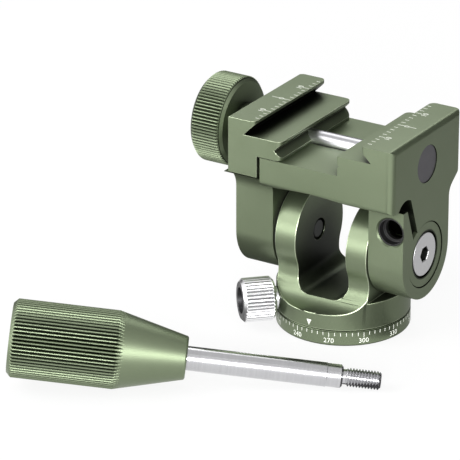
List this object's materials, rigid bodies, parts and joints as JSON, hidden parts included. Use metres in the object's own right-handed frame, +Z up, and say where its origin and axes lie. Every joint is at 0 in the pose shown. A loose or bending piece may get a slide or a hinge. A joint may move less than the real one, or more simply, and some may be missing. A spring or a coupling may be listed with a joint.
{
  "type": "two-way pan tilt head",
  "caption": "Compact pan and tilt camera head with a screw-driven double dovetail clamp, a knurled pan lock and a loose screw-in handle that locks the tilt.",
  "frame": {"origin": "centre of the base's underside, on the pan axis", "axes": "+Z up along the pan axis, +X along the tilt axis towards the fixed jaw and the split arm, -Y towards the front, where the handle goes in"},
  "size_m": [0.0904, 0.1102, 0.064],
  "materials": {
    "green_anodised": "satin anodised",
    "bright_steel": "turned",
    "steel": "machined",
    "brass": "machined",
    "black_plastic": "matte",
    "dark_metal": "satin"
  },
  "bodies": {
    "base": {"base_disc": "green_anodised", "socket_insert": "steel", "pan_washer": "black_plastic"},
    "fork": {"fork": "green_anodised", "retaining_screws": "steel", "tilt_hub_left": "green_anodised", "tilt_hub_right": "green_anodised", "tilt_screw_left": "bright_steel", "tilt_screw_right": "bright_steel", "thrust_washer_left": "black_plastic", "thrust_washer_right": "black_plastic"},
    "pan_pad": {"pan_lock_pad": "brass"},
    "pan_knob": {"pan_lock_screw": "steel", "pan_lock_knob": "bright_steel"},
    "frame": {"tilt_frame": "green_anodised", "arm_bush": "brass", "handle_seat": "black_plastic", "clamp_nut": "steel", "screw_plug": "dark_metal", "jaw_springs": "steel"},
    "jaw": {"movable_jaw": "green_anodised", "guide_pins": "steel", "knob_washer": "steel"},
    "knob": {"clamp_knob": "green_anodised", "clamp_screw": "bright_steel", "screw_stop_ring": "steel", "knob_grub_screw": "steel"},
    "handle": {"handle_grip": "green_anodised", "handle_rod": "bright_steel"}
  },
  "joints": [
    {"name": "pan", "type": "hinge", "parent": "base", "child": "fork", "pos_m": [0, 0, 0], "axis": [0, 0, 1], "continuous": true},
    {"name": "tilt", "type": "hinge", "parent": "fork", "child": "frame", "pos_m": [0, 0, 0.025], "axis": [1, 0, 0], "range_deg": [-80, 60]},
    {"name": "jaw_slide", "type": "slide", "parent": "frame", "child": "jaw", "axis": [-1, 0, 0], "range_m": [-0.0009, 0.005]},
    {"name": "knob_spin", "type": "hinge", "parent": "jaw", "child": "knob", "pos_m": [0, 0, 0.0514], "axis": [1, 0, 0], "range_deg": [-2251, 406]},
    {"name": "pan_lock_slide", "type": "slide", "parent": "fork", "child": "pan_pad", "axis": [-0.7193, -0.6947, 0], "range_m": [0, 0.0012]},
    {"name": "pan_lock_spin", "type": "hinge", "parent": "pan_pad", "child": "pan_knob", "pos_m": [0, 0, 0.0081], "axis": [-0.7193, -0.6947, 0], "range_deg": [-0.5, 617.5]},
    {"name": "handle_lift", "type": "slide", "parent": "base", "child": "handle", "axis": [0, 0, 1], "range_m": [0, 0.12]}
  ],
  "couplings": [
    {"joint": "knob_spin", "follows": "jaw_slide", "rad_per_m": -7854},
    {"joint": "pan_lock_spin", "follows": "pan_lock_slide", "rad_per_m": 8976}
  ]
}
